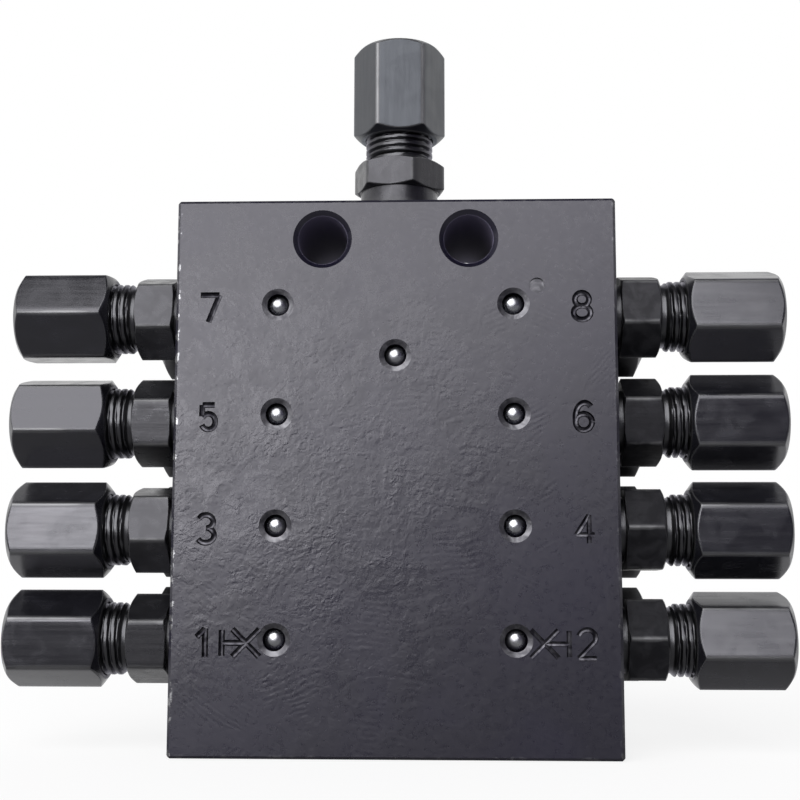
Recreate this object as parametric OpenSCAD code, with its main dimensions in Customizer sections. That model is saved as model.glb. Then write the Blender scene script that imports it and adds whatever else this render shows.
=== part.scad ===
// Progressive lubricant divider block with one inlet, eight outlets and four pistons.
// Millimetres, +Z up, +Y from the front face to the mounting face.
// The origin is the centre of the block's base.

/* [Block] */
// Width of the block, from one outlet face to the other
block_w = 60; // [56:1:80]
// Depth of the block, from the front face to the mounting face
block_d = 30; // [30:0.5:40]
// Height of the lowest outlets above the base
bottom_margin = 15; // [9:0.5:25]
// Spacing of the outlet rows
row_pitch = 15; // [14.4:0.2:20]
// Height of the top face above the highest outlets
top_margin = 15; // [14:0.5:25]
// Chamfer on the edges of the block
block_chamfer = 0.4; // [0.2:0.1:1]

/* [Mounting holes] */
// Diameter of the two through holes
hole_d = 6.8; // [6:0.1:7.6]
// Distance between the two holes
hole_spacing = 20; // [19:0.5:26]
// Distance of the holes below the top face
hole_drop = 5.5; // [5:0.1:7]
// Countersink at the front end of the holes
hole_chamfer = 0.65; // [0.2:0.05:0.8]

/* [Threads and tube] */
// Outer diameter of the port threads and tube threads
thread_d = 10; // [9:0.1:10.4]
// Radial play between two threads that mate
thread_play = 0.05; // [0.02:0.01:0.1]
// Chamfer at the end of a male thread
thread_chamfer = 0.6; // [0.3:0.1:0.8]
// Depth of the relief turned beside a thread
relief_cut = 0.55; // [0.3:0.05:0.8]
// Length of the relief between a hex and its tube thread
relief_len = 0.7; // [0.4:0.1:1.2]
// Length of a tube thread, from the hex to its end
tube_thread_len = 8.7; // [8:0.1:10]
// Diameter of the hole that takes the tube
tube_d = 6.1; // [5.6:0.1:6.6]
// Radial room that a nut leaves around the tube hole
nut_room = 0.25; // [0.2:0.05:0.3]
// Diameter of the way through a fitting behind the tube
way_d = 3; // [2:0.1:4]
// Length of straight socket between the tube stop and the cone
socket_len = 2.6; // [1.5:0.1:3]
// Diameter of the sealing cone at its mouth
cone_d = 8; // [7.6:0.1:8.4]
// Half angle of the sealing cone in degrees
cone_angle = 12; // [10:1:15]

/* [Outlet fittings] */
// Depth of the outlet axes behind the front face
outlet_depth = 8.5; // [8.2:0.1:8.6]
// Depth of an outlet port
port_depth = 8.5; // [7.5:0.1:9]
// Length of bare neck between the block and the body's hex
neck_len = 1.2; // [0.8:0.1:2]
// Width across flats of an outlet body's hex
body_af = 10.9; // [10:0.1:11]
// Length of an outlet body's hex
body_hex_len = 5.4; // [4:0.1:7]
// Width across flats of an outlet nut
nut_af = 11.8; // [11.6:0.1:12.2]
// Length of an outlet nut
nut_len = 13.3; // [12.6:0.1:17]
// Length of thread that shows between an outlet body and its nut
nut_gap = 3.6; // [2:0.1:5]

/* [Hex ends] */
// Depth of the turned cone at a nut's ends, along the nut
nut_cone = 1; // [0.8:0.1:2]
// Radius that the cone takes off a nut's corners at the ends
nut_cone_cut = 1.35; // [0.6:0.05:1.5]
// Depth of the chamfer on a body's hex, along the body
hex_cone = 0.5; // [0.3:0.1:1]
// Radius that the chamfer takes off a body hex's corners
hex_cone_cut = 0.9; // [0.4:0.1:1]
// Depth of the chamfer on the back of an outlet body's hex, along the body
hex_back = 0.2; // [0.1:0.1:0.5]
// Radius that the back chamfer takes off an outlet body hex's corners
hex_back_cut = 0.5; // [0.2:0.1:0.8]

/* [Cutting rings] */
// Length of a ring's nose inside the sealing cone
ring_nose = 3.2; // [2:0.1:3.6]
// Diameter of a ring's collar
ring_collar_d = 8.9; // [8.6:0.1:9.2]
// Wall left at the back of a ring
ring_back_wall = 0.35; // [0.3:0.05:0.6]
// Play between a ring and what it seats on
ring_play = 0.03; // [0.02:0.01:0.06]
// Distance from a tube thread's end to the nut's inner shoulder
shoulder_gap = 0.6; // [0.4:0.1:1]

/* [Check valves] */
// Diameter of a check ball
check_ball_d = 3.8; // [3.4:0.1:4]
// Radial room around a check ball
valve_play = 0.4; // [0.3:0.05:0.5]
// Distance between a check ball and its conical seat
seat_gap = 0.2; // [0.1:0.05:0.3]
// Length of the ball's chamber between the port and its seat
chamber_len = 1.8; // [1.4:0.1:2]
// Diameter of the hole under the seat
link_d = 2.4; // [1.8:0.1:2.6]
// Depth of the spring's bore in an outlet body
spring_room = 7; // [6:0.1:8]
// Wire diameter of a check spring
spring_wire = 0.44; // [0.3:0.02:0.5]
// Mean diameter of a check spring's coils
spring_coil_d = 3; // [2.8:0.1:3.2]
// Turns of a check spring
spring_turns = 6; // [5:0.5:8]
// Distance between a check spring and what it pushes on
spring_play = 0.1; // [0.05:0.05:0.2]

/* [Pistons] */
// Depth of the piston axes behind the front face
piston_depth = 22; // [22:0.1:22.8]
// Diameter of a piston
piston_d = 6; // [5:0.1:6.4]
// Radial play of a piston in its bore
piston_play = 0.03; // [0.01:0.01:0.05]
// Stroke of a piston
stroke = 7; // [5:0.5:8]
// Gap between a piston and a plug at the end of the stroke
end_gap = 0.2; // [0.1:0.05:0.3]
// Length of a piston's two end lands
end_land = 8; // [6:0.5:9]
// Length of a piston's middle land
middle_land = 8; // [6:0.5:9]
// Depth of the grooves between the lands
groove_cut = 1; // [0.6:0.1:1.5]
// Chamfer on the edges of a piston
piston_chamfer = 0.3; // [0.1:0.1:0.5]

/* [Piston plugs] */
// Outer diameter of a piston plug's thread
plug_thread_d = 11; // [9:0.1:11.4]
// Length of a piston plug's thread
plug_shank = 8; // [6:0.1:8.5]
// Width across flats of a piston plug
plug_af = 12; // [11.6:0.1:12]
// Height of a piston plug's head, from the block to its end
plug_head = 6.5; // [5:0.1:7.5]
// Height of the round collar under a plug's hex
collar_h = 0.7; // [0.4:0.1:1.2]
// Diameter of the round collar under a plug's hex
collar_d = 11.8; // [11:0.1:11.8]
// Diameter of the flat end of a plug's head
plug_end_d = 7.6; // [6:0.2:10]
// Length of the turned cone at a plug's end
plug_cone = 1.5; // [0.8:0.1:2]
// Radial play of the counterbore behind a plug's thread
counterbore_gap = 0.5; // [0.2:0.1:1]

/* [Sealed drillings] */
// Distance of the drillings from the outlet faces
drill_inset = 14; // [13.4:0.1:16]
// Height of the drillings above their outlets
drill_rise = 0.4; // [0:0.1:0.6]
// Distance of the middle drilling below the highest outlets
middle_drop = 6.6; // [5:0.1:9]
// Diameter of the drillings
drill_d = 2.5; // [2:0.1:2.7]
// Diameter of the balls that close the drillings
seal_ball_d = 3; // [2.9:0.05:3.4]
// Distance of the balls behind the front face
seal_sink = 0.3; // [0.1:0.05:0.6]
// Radial play of a ball in its pocket
seal_play = 0.02; // [0.01:0.01:0.03]
// Diameter of the countersinks around the balls
sink_d = 4.4; // [3.8:0.1:5]
// Slope of the countersinks in degrees
sink_angle = 20; // [15:1:45]
// Diameter of the supply drilling between the pistons
supply_d = 2.8; // [2:0.1:3]
// Depth to which the supply drilling cuts into the piston bores
supply_bite = 0.6; // [0.4:0.1:1]

/* [Index mark] */
// Diameter of the spot beside the upper right ball
spot_d = 2.1; // [1:0.1:3]
// Depth of the spot
spot_depth = 0.35; // [0.1:0.05:0.5]
// Distance of the spot outside the drillings
spot_out = 3.2; // [2.8:0.1:5]
// Height of the spot above the upper right ball
spot_rise = 2.5; // [0:0.1:4]

/* [Inlet] */
// Depth of the inlet axis behind the front face
inlet_depth = 15; // [14.5:0.1:15.5]
// Depth of the inlet port
inlet_port_depth = 9.5; // [9:0.1:10]
// Free length left under the inlet body in its port
inlet_end_gap = 0.5; // [0.2:0.1:1]
// Diameter of the inlet body's round shoulder
shoulder_d = 11.4; // [11:0.1:11.8]
// Height of the inlet body's round shoulder
shoulder_h = 4.9; // [3:0.1:6]
// Width across flats of the inlet body's hex
inlet_af = 12; // [11.6:0.1:13]
// Length of the inlet body's hex
inlet_hex_len = 4.2; // [3:0.1:6]
// Width across flats of the inlet nut
inlet_nut_af = 12; // [11.6:0.1:13]
// Length of the inlet nut
inlet_nut_len = 14; // [13:0.1:17]
// Length of thread that shows between the inlet body and its nut
inlet_nut_gap = 3.9; // [2:0.1:5]

/* [Hidden] */
$fn = 96;
past = 1;
row_count = 4;
outlet_count = 2 * row_count;
// Corner of each hex nearest the front, in degrees up from the front, for outlets 1 to 8
nut_turns = [27, 43, 31, 30, 47, 28, 59, 39];
body_turns = [25, 5, 46, 3, 26, 27, 41, 44];
plug_turns = [24, 31, 35, 28, 30, 33, 27, 36];
// The same for the inlet, in degrees to the right of the front
inlet_nut_turn = 33;
inlet_body_turn = 19;

front_y = -block_d / 2;
outlet_y = front_y + outlet_depth;
piston_y = front_y + piston_depth;
inlet_y = front_y + inlet_depth;
block_h = bottom_margin + (row_count - 1) * row_pitch + top_margin;
top_row_z = block_h - top_margin;
hole_z = block_h - hole_drop;
drill_x = block_w / 2 - drill_inset;

thread_r = thread_d / 2 - thread_play;
relief_r = thread_d / 2 - relief_cut;
tube_r = tube_d / 2;
nut_hole_r = tube_r + nut_room;
cone_r = cone_d / 2;
cone_len = (cone_r - tube_r) / tan(cone_angle);
shoulder_cone = thread_d / 2 - nut_hole_r;

body_hex_end = neck_len + body_hex_len;
inlet_hex_end = shoulder_h + inlet_hex_len;
check_r = check_ball_d / 2;
valve_r = check_r + valve_play;
link_r = link_d / 2;
seat_apex = port_depth + chamber_len + valve_r;
check_at = -(seat_apex - (check_r + seat_gap) * sqrt(2));
wire_r = spring_wire / 2;
coil_r = spring_coil_d / 2;
spring_from = check_at + sqrt(pow(check_r + wire_r + spring_play, 2) - pow(coil_r, 2));
spring_to = spring_room - port_depth - wire_r - spring_play;

piston_r = piston_d / 2;
bore_r = piston_r + piston_play;
bore_span = block_w - 2 * plug_shank;
piston_len = bore_span - stroke - 2 * end_gap;
groove_len = (piston_len - 2 * end_land - middle_land) / 2;
plug_thread_r = plug_thread_d / 2 - thread_play;

seal_r = seal_ball_d / 2;
seal_at = seal_sink + seal_r;
drill_r = drill_d / 2;
pocket_depth = seal_at + sqrt(pow(seal_r, 2) - pow(drill_r, 2)) + seal_play;
supply_r = supply_d / 2;
supply_y = piston_y - bore_r - supply_r + supply_bite;

outlets = [for (n = [1 : outlet_count]) n];

// Odd outlets are on the left, even ones on the right, counted from the base.
function side(n) = n % 2 == 0 ? 1 : -1;
function row_z(n) = bottom_margin + floor((n - 1) / 2) * row_pitch;

// Puts a shape made along +Z from an outlet face in place, pointing out of the block.
module at_side(n, y) {
    translate([side(n) * block_w / 2, y, row_z(n)])
        rotate([0, side(n) * 90, 0])
            children();
}

// Turns a hex so that one corner stands the given angle above the front.
module turned(n, up) {
    rotate([0, 0, side(n) > 0 ? 270 - up : up - 90])
        children();
}

module at_inlet() {
    translate([0, inlet_y, block_h])
        children();
}

// Puts a shape made along +Z at a point of the front face, pointing into the block.
module at_front(x, z) {
    translate([x, front_y, z])
        rotate([-90, 0, 0])
            children();
}

module cut_rectangle(w, h, c) {
    polygon([
        [-w / 2 + c, -h / 2], [w / 2 - c, -h / 2], [w / 2, -h / 2 + c], [w / 2, h / 2 - c],
        [w / 2 - c, h / 2], [-w / 2 + c, h / 2], [-w / 2, h / 2 - c], [-w / 2, -h / 2 + c]
    ]);
}

// A bar with its twelve edges chamfered, standing on its base.
module chamfered_bar(w, d, h, c) {
    translate([0, 0, h / 2])
        intersection() {
            linear_extrude(h, center = true)
                cut_rectangle(w, d, c);
            rotate([90, 0, 0])
                linear_extrude(d, center = true)
                    cut_rectangle(w, h, c);
            rotate([90, 0, 90])
                linear_extrude(w, center = true)
                    cut_rectangle(d, h, c);
        }
}

// A hex bar from z = from to z = to, its corners turned off in a cone at each end.
module coned_hex(af, from, to, low_cone, low_cut, high_cone, high_cut) {
    corner_r = af / sqrt(3);
    intersection() {
        translate([0, 0, from])
            cylinder(h = to - from, r = corner_r, $fn = 6);
        rotate_extrude()
            polygon([
                [0, from], [corner_r - low_cut, from], [corner_r, from + low_cone],
                [corner_r, to - high_cone], [corner_r - high_cut, to], [0, to]
            ]);
    }
}

// Turned outside of a fitting's tube end, from its hex to the end of the thread.
module tube_end(hex_end) {
    thread_end = hex_end + tube_thread_len;
    rotate_extrude()
        polygon([
            [0, hex_end - past], [relief_r, hex_end - past], [relief_r, hex_end + relief_len],
            [thread_r, hex_end + relief_len + relief_cut], [thread_r, thread_end - thread_chamfer],
            [thread_r - thread_chamfer, thread_end], [0, thread_end]
        ]);
}

// Way through a fitting: a lower bore, the way, the tube socket and the sealing cone.
module fitting_way(bottom, lower_r, lower_end, hex_end) {
    thread_end = hex_end + tube_thread_len;
    stop = thread_end - cone_len - socket_len;
    rotate_extrude()
        polygon([
            [0, bottom - past], [lower_r, bottom - past], [lower_r, lower_end],
            [way_d / 2, lower_end], [way_d / 2, stop], [tube_r, stop],
            [tube_r, thread_end - cone_len], [cone_r + past * tan(cone_angle), thread_end + past],
            [0, thread_end + past]
        ]);
}

module cutting_ring(hex_end) {
    thread_end = hex_end + tube_thread_len;
    nose = thread_end - ring_nose;
    collar_r = ring_collar_d / 2;
    back_r = tube_r + ring_back_wall;
    // The back of the ring follows the 45 degree shoulder inside the nut.
    shoulder = thread_end + shoulder_gap + thread_d / 2 - ring_play * sqrt(2);
    rotate_extrude()
        polygon([
            [tube_r, nose], [cone_r - ring_nose * tan(cone_angle) - ring_play, nose],
            [cone_r - ring_play, thread_end + ring_play], [collar_r, thread_end + ring_play],
            [collar_r, shoulder - collar_r], [back_r, shoulder - back_r], [tube_r, shoulder - back_r]
        ]);
}

module union_nut(af, len, hex_end, gap) {
    from = hex_end + gap;
    to = from + len;
    shoulder = hex_end + tube_thread_len + shoulder_gap;
    difference() {
        coned_hex(af, from, to, nut_cone, nut_cone_cut, nut_cone, nut_cone_cut);
        rotate_extrude()
            polygon([
                [0, from - past], [thread_d / 2 + past, from - past], [thread_d / 2, from],
                [thread_d / 2, shoulder],
                [nut_hole_r, shoulder + shoulder_cone], [nut_hole_r, to + past], [0, to + past]
            ]);
    }
}

module outlet_body(n) {
    color("#33343a")
        at_side(n, outlet_y)
            turned(n, body_turns[n - 1])
                difference() {
                    union() {
                        rotate_extrude()
                            polygon([
                                [0, -port_depth], [thread_r - thread_chamfer, -port_depth],
                                [thread_r, -port_depth + thread_chamfer], [thread_r, -relief_cut],
                                [relief_r, 0], [relief_r, neck_len + past], [0, neck_len + past]
                            ]);
                        coned_hex(
                            body_af, neck_len, body_hex_end,
                            hex_back, hex_back_cut, hex_cone, hex_cone_cut
                        );
                        tube_end(body_hex_end);
                    }
                    fitting_way(-port_depth, valve_r, spring_room - port_depth, body_hex_end);
                }
}

module outlet_ring(n) {
    color("#8f8b80")
        at_side(n, outlet_y)
            cutting_ring(body_hex_end);
}

module outlet_nut(n) {
    color("#2a2b30")
        at_side(n, outlet_y)
            turned(n, nut_turns[n - 1])
                union_nut(nut_af, nut_len, body_hex_end, nut_gap);
}

module check_ball(n) {
    color("#c9ccd1")
        at_side(n, outlet_y)
            translate([0, 0, check_at])
                sphere(r = check_r);
}

// Height of the spring's wire after a number of turns: the end turns lie closed.
function coil_height(turn) =
    let (open_turns = spring_turns - 2)
    let (open_height = spring_to - spring_from - 2 * spring_wire)
    turn < 1 ? spring_from + turn * spring_wire :
    turn > spring_turns - 1 ? spring_to - (spring_turns - turn) * spring_wire :
    spring_from + spring_wire + (turn - 1) * open_height / open_turns;

module check_spring(n) {
    steps_per_turn = 12;
    wire_sides = 6;
    rings = round(spring_turns * steps_per_turn);
    points = [
        for (i = [0 : rings], j = [0 : wire_sides - 1])
            let (turn = i / steps_per_turn, around = 360 * j / wire_sides)
            let (r = coil_r + wire_r * cos(around))
            [r * cos(360 * turn), r * sin(360 * turn), coil_height(turn) + wire_r * sin(around)]
    ];
    walls = [
        for (i = [0 : rings - 1], j = [0 : wire_sides - 1])
            let (a = i * wire_sides + j, b = i * wire_sides + (j + 1) % wire_sides)
            each [[a, a + wire_sides, b], [b, a + wire_sides, b + wire_sides]]
    ];
    first = [for (j = [0 : wire_sides - 1]) j];
    last = [for (j = [wire_sides - 1 : -1 : 0]) rings * wire_sides + j];
    color("#9fa3a8")
        at_side(n, outlet_y)
            polyhedron(points, concat([first, last], walls));
}

module piston_plug(n) {
    color("#2a2b30")
        at_side(n, piston_y)
            turned(n, plug_turns[n - 1])
                union() {
                    rotate_extrude()
                        polygon([
                            [0, -plug_shank], [plug_thread_r - thread_chamfer, -plug_shank],
                            [plug_thread_r, -plug_shank + thread_chamfer], [plug_thread_r, 0],
                            [collar_d / 2, 0], [collar_d / 2, collar_h + past], [0, collar_h + past]
                        ]);
                    coned_hex(
                        plug_af, collar_h, plug_head, hex_cone, hex_cone_cut,
                        plug_cone, plug_af / sqrt(3) - plug_end_d / 2
                    );
                }
}

// Pistons 1 and 3 rest at the left end of the stroke, 2 and 4 at the right.
module piston(i) {
    from = i % 2 == 1 ? -bore_span / 2 + end_gap : bore_span / 2 - end_gap - piston_len;
    groove_r = piston_r - groove_cut;
    groove_1 = end_land + groove_len;
    groove_2 = groove_1 + middle_land;
    c = piston_chamfer;
    color("#b4b8bd")
        translate([from, piston_y, row_z(2 * i)])
            rotate([0, 90, 0])
                rotate_extrude()
                    polygon([
                        [0, 0], [piston_r - c, 0], [piston_r, c], [piston_r, end_land],
                        [groove_r, end_land], [groove_r, groove_1], [piston_r, groove_1],
                        [piston_r, groove_2], [groove_r, groove_2], [groove_r, groove_2 + groove_len],
                        [piston_r, groove_2 + groove_len], [piston_r, piston_len - c],
                        [piston_r - c, piston_len], [0, piston_len]
                    ]);
}

// Calls its children at the nine drillings that open in the front face.
module at_drillings() {
    for (n = outlets)
        at_front(side(n) * drill_x, row_z(n) + drill_rise)
            children();
    at_front(0, top_row_z - middle_drop)
        children();
}

module ball_plugs() {
    color("#d4d7db")
        at_drillings()
            translate([0, 0, seal_at])
                sphere(r = seal_r);
}

module mounting_holes() {
    wide_r = hole_d / 2 + hole_chamfer;
    for (s = [-1, 1])
        at_front(s * hole_spacing / 2, hole_z)
            rotate_extrude()
                polygon([
                    [0, -past], [wide_r + past, -past], [hole_d / 2, hole_chamfer],
                    [hole_d / 2, block_d + past], [0, block_d + past]
                ]);
}

// Pocket, countersink and drilling of a given depth behind one ball.
module sealed_drilling(depth) {
    pocket_r = seal_r + seal_play;
    sink_r = sink_d / 2;
    rotate_extrude()
        polygon([
            [0, -past], [sink_r + past / tan(sink_angle), -past],
            [pocket_r, (sink_r - pocket_r) * tan(sink_angle)], [pocket_r, pocket_depth],
            [drill_r, pocket_depth], [drill_r, depth], [0, depth]
        ]);
}

// Port, ball chamber, conical seat and link to the drilling of one outlet.
module outlet_port() {
    seat_end = port_depth + chamber_len + valve_r - link_r;
    rotate_extrude()
        polygon([
            [0, past], [thread_d / 2, past], [thread_d / 2, -port_depth], [valve_r, -port_depth],
            [valve_r, -port_depth - chamber_len], [link_r, -seat_end], [link_r, -drill_inset],
            [0, -drill_inset]
        ]);
}

module piston_bore(i) {
    translate([0, piston_y, row_z(2 * i)])
        rotate([0, 90, 0])
            cylinder(h = block_w, r = bore_r, center = true);
    for (n = [2 * i - 1, 2 * i])
        at_side(n, piston_y)
            translate([0, 0, -plug_shank - counterbore_gap])
                cylinder(h = plug_shank + counterbore_gap + past, r = plug_thread_d / 2);
}

module supply() {
    translate([0, inlet_y, block_h - inlet_port_depth])
        cylinder(h = inlet_port_depth + past, r = thread_d / 2);
    translate([0, supply_y, bottom_margin])
        cylinder(h = block_h - bottom_margin - inlet_port_depth + past, r = supply_r);
}

module index_spot() {
    at_front(drill_x + spot_out, top_row_z + drill_rise + spot_rise)
        translate([0, 0, -past])
            cylinder(h = past + spot_depth, r = spot_d / 2);
}

module block() {
    color("#55565c")
        difference() {
            chamfered_bar(block_w, block_d, block_h, block_chamfer);
            mounting_holes();
            supply();
            for (n = outlets) {
                at_side(n, outlet_y)
                    outlet_port();
                at_front(side(n) * drill_x, row_z(n) + drill_rise)
                    sealed_drilling(piston_depth);
            }
            at_front(0, top_row_z - middle_drop)
                sealed_drilling(supply_y - front_y);
            for (i = [1 : row_count])
                piston_bore(i);
            index_spot();
        }
}

module inlet_body() {
    shank = inlet_port_depth - inlet_end_gap;
    color("#33343a")
        at_inlet()
            rotate([0, 0, inlet_body_turn - 90])
                difference() {
                    union() {
                        rotate_extrude()
                            polygon([
                                [0, -shank], [thread_r - thread_chamfer, -shank],
                                [thread_r, -shank + thread_chamfer], [thread_r, 0],
                                [shoulder_d / 2, 0], [shoulder_d / 2, shoulder_h + past],
                                [0, shoulder_h + past]
                            ]);
                        coned_hex(
                            inlet_af, shoulder_h, inlet_hex_end,
                            hex_cone, hex_cone_cut, hex_cone, hex_cone_cut
                        );
                        tube_end(inlet_hex_end);
                    }
                    fitting_way(-shank, way_d / 2, 0, inlet_hex_end);
                }
}

module inlet_ring() {
    color("#8f8b80")
        at_inlet()
            cutting_ring(inlet_hex_end);
}

module inlet_nut() {
    color("#2a2b30")
        at_inlet()
            rotate([0, 0, inlet_nut_turn - 90])
                union_nut(inlet_nut_af, inlet_nut_len, inlet_hex_end, inlet_nut_gap);
}

block();
ball_plugs();
inlet_body();
inlet_ring();
inlet_nut();
for (n = outlets) {
    outlet_body(n);
    outlet_ring(n);
    outlet_nut(n);
    check_ball(n);
    check_spring(n);
    piston_plug(n);
}
for (i = [1 : row_count])
    piston(i);
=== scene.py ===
"""Looks of a progressive lubricant divider block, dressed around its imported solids.

Metres, +Z up, +Y from the front face to the mounting face. Real sizes are written in millimetres times MM.
"""

import math

import bmesh
import bpy
import numpy as np
from mathutils import Matrix, Quaternion, Vector


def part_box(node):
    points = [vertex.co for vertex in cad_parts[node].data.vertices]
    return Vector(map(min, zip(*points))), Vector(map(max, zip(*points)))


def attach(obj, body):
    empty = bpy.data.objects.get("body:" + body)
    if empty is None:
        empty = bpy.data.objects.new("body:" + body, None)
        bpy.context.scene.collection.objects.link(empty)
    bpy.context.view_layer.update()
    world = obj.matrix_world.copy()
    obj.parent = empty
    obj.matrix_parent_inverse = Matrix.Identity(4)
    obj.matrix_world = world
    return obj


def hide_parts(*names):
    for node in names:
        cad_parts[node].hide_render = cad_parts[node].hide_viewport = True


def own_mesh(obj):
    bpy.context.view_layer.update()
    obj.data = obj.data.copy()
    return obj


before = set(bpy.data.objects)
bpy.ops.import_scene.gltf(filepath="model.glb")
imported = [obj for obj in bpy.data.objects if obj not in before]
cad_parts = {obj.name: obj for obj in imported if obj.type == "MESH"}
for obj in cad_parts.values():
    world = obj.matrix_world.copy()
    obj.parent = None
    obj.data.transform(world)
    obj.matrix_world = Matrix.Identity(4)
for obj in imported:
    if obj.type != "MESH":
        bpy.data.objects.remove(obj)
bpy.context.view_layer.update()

MM = 0.001
HOUSING = "housing"
OUTLETS = range(1, 9)
TOP_OUTLET = 8
MARKED_OUTLETS = (1, 2)
block_low, block_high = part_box("block")

# Camera, fitted to the photograph's frame of 800 by 800
CAMERA_AT = Vector((6.5, -186.64, 26.7)) * MM
CAMERA_AIM = Vector((0.66, -15.0, 47.27)) * MM
CAMERA_ROLL = math.radians(0.077)
LENS = 57.83
SENSOR = 36.0
NEAR_CLIP = 5.0 * MM

# Threads and tube ends
THREAD_R = 5.0 * MM
MALE_R = 4.95 * MM
PITCH = 1.0 * MM
THREAD_DEPTH = 0.5 * MM
THREAD_ROOT = 0.2
THREAD_FLANKS = 0.36
THREAD_CHAMFER = 0.6 * MM
RELIEF_CUT = 0.55 * MM
RELIEF_R = THREAD_R - RELIEF_CUT
RELIEF_LENGTH = 0.7 * MM
TUBE_R = 3.05 * MM
WAY_R = 1.5 * MM
SOCKET_LENGTH = 2.6 * MM
CONE_R = 4.0 * MM
CONE_LENGTH = (CONE_R - TUBE_R) / math.tan(math.radians(12))

# Hex bars
NUT_FLATS = 11.8 * MM
NUT_CONE = 1.0 * MM
NUT_CONE_CUT = 1.35 * MM
NUT_HOLE_R = 3.3 * MM
SHOULDER_GAP = 0.6 * MM
BODY_FLATS = 10.9 * MM
BODY_HEX = (1.2 * MM, 6.6 * MM)
HEX_CONE = (0.5 * MM, 0.9 * MM)
HEX_BACK = (0.2 * MM, 0.5 * MM)
VALVE_R = 2.3 * MM
SPRING_ROOM_END = -1.5 * MM
INLET_FLATS = 12.0 * MM
INLET_HEX = (4.9 * MM, 9.1 * MM)
SHOULDER_R = 5.7 * MM
PLUG_FLATS = 12.0 * MM
PLUG_THREAD_R = 5.45 * MM
PLUG_COLLAR = 0.7 * MM
PLUG_COLLAR_R = 5.9 * MM
PLUG_CONE = 1.5 * MM
PLUG_END_R = 3.8 * MM

# Corner of each hex nearest the front, in degrees up from the front, for outlets 1 to 8
NUT_TURNS = (27, 43, 31, 30, 47, 28, 59, 39)
BODY_TURNS = (25, 5, 46, 3, 26, 27, 41, 44)
PLUG_TURNS = (24, 31, 35, 28, 30, 33, 27, 36)
INLET_NUT_TURN = 33
INLET_BODY_TURN = 19

# Springs, balls and stamped marks
SPRING_WIRE_R = 0.22 * MM
SPRING_COIL_R = 1.5 * MM
SPRING_TURNS = 6
SPRING_STEPS = 28
SPRING_SIDES = 12
BALL_R = 1.5 * MM
BALL_SUBDIVISIONS = 5
BALL_BEHIND = 1.8 * MM
DRILL_INSET = 14.0 * MM
DRILL_RISE = 0.4 * MM
MIDDLE_DROP = 6.6 * MM
STAMP_R = 0.42 * MM
STAMP_SIDES = 10
LIGHT_STAMPS = (2, 4)
LIGHT_OUT = 0.22 * MM
CUT_DEPTH = (0.02 * MM, 0.5 * MM)
EDGE_CLEAR = 1.0 * MM
SINK_R = 2.3 * MM
DIGIT_INSET = 4.75 * MM
DIGIT_WIDTH = 2.4 * MM
DIGIT_HEIGHT = 3.7 * MM
HOLE_R = 3.4 * MM
HOLE_OUT = 10.0 * MM
HOLE_DROP = 5.5 * MM
SPOT_OUT = 3.2 * MM
SPOT_RISE = 2.5 * MM
SCUFF_AT = (-15.0 * MM, 38.0 * MM)
SCUFF_REACH = (48.0 * MM, 5.0 * MM)
BAR_INSET = 7.1 * MM
BAR_HALF = 1.7 * MM
CROSS_INSET = 10.3 * MM
CROSS_HALF = 1.8 * MM

# How finely the pieces are divided, and how their corners are broken and worn
SECTOR_COLUMNS = 18
CORNER_CROWDING = 2.2
HEX_STEPS = 4
CONE_STEP = 0.1 * MM
THREAD_STEPS = 9
EDGE_POWER = 40
EDGE_SPREAD = 3.0
EDGE_BLEND = 0.04 * MM
END_SPREAD = 0.12 * MM
END_WORN = 0.6
CORNER_FLAT = 0.07 * MM
CORNER_ROOM = 3 * CORNER_FLAT
CORNER_MIN_TURN = math.radians(25)
CORNER_WORN = 0.8
TURNED_MERGE = 1e-8
SOLID_MERGE = 0.002 * MM
CUT_MERGE = 1e-7
TURNED_SHARP = 34
CUT_SHARP = 16


# Node trees

class Graph:
    """Adds nodes to one tree and links them, with short calls."""

    def __init__(self, tree):
        self.tree = tree

    def feed(self, socket, value):
        """Links an output to a socket, or sets the socket to a plain value."""
        if isinstance(value, bpy.types.NodeSocket):
            self.tree.links.new(value, socket)
        else:
            socket.default_value = value

    def add(self, kind, inputs=None, **settings):
        """Adds a node, sets it up and feeds its inputs."""
        node = self.tree.nodes.new(kind)
        for name, value in settings.items():
            setattr(node, name, value)
        for socket, value in (inputs or {}).items():
            self.feed(node.inputs[socket], value)
        return node

    def math(self, operation, first, second=0.0):
        """One sum on one or two values."""
        return self.add("ShaderNodeMath", {0: first, 1: second}, operation=operation).outputs[0]

    def ramp(self, value, low, high, to_low=0.0, to_high=1.0):
        """Smooth step from to_low to to_high as the value goes from low to high."""
        sockets = {"Value": value, "From Min": low, "From Max": high, "To Min": to_low, "To Max": to_high}
        return self.add("ShaderNodeMapRange", sockets, interpolation_type="SMOOTHSTEP").outputs["Result"]

    def noise(self, vector, scale, detail=2.0, distortion=0.0):
        """Soft noise, mostly between 0.3 and 0.7."""
        sockets = {"Vector": vector, "Scale": scale, "Detail": detail, "Distortion": distortion}
        return self.add("ShaderNodeTexNoise", sockets).outputs["Fac"]

    def mix(self, factor, first, second):
        """Mixes two colours."""
        node = self.add("ShaderNodeMix", {0: factor, 6: first, 7: second}, data_type="RGBA")
        return node.outputs[2]

    def separate(self, vector):
        """The three parts of a vector."""
        return self.add("ShaderNodeSeparateXYZ", {"Vector": vector}).outputs

    def place(self, group, **inputs):
        """Places a shared group in this tree and returns its outputs."""
        node = self.add("ShaderNodeGroup", node_tree=group)
        for name, value in inputs.items():
            self.feed(node.inputs[name.replace("_", " ")], value)
        return node.outputs


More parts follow.
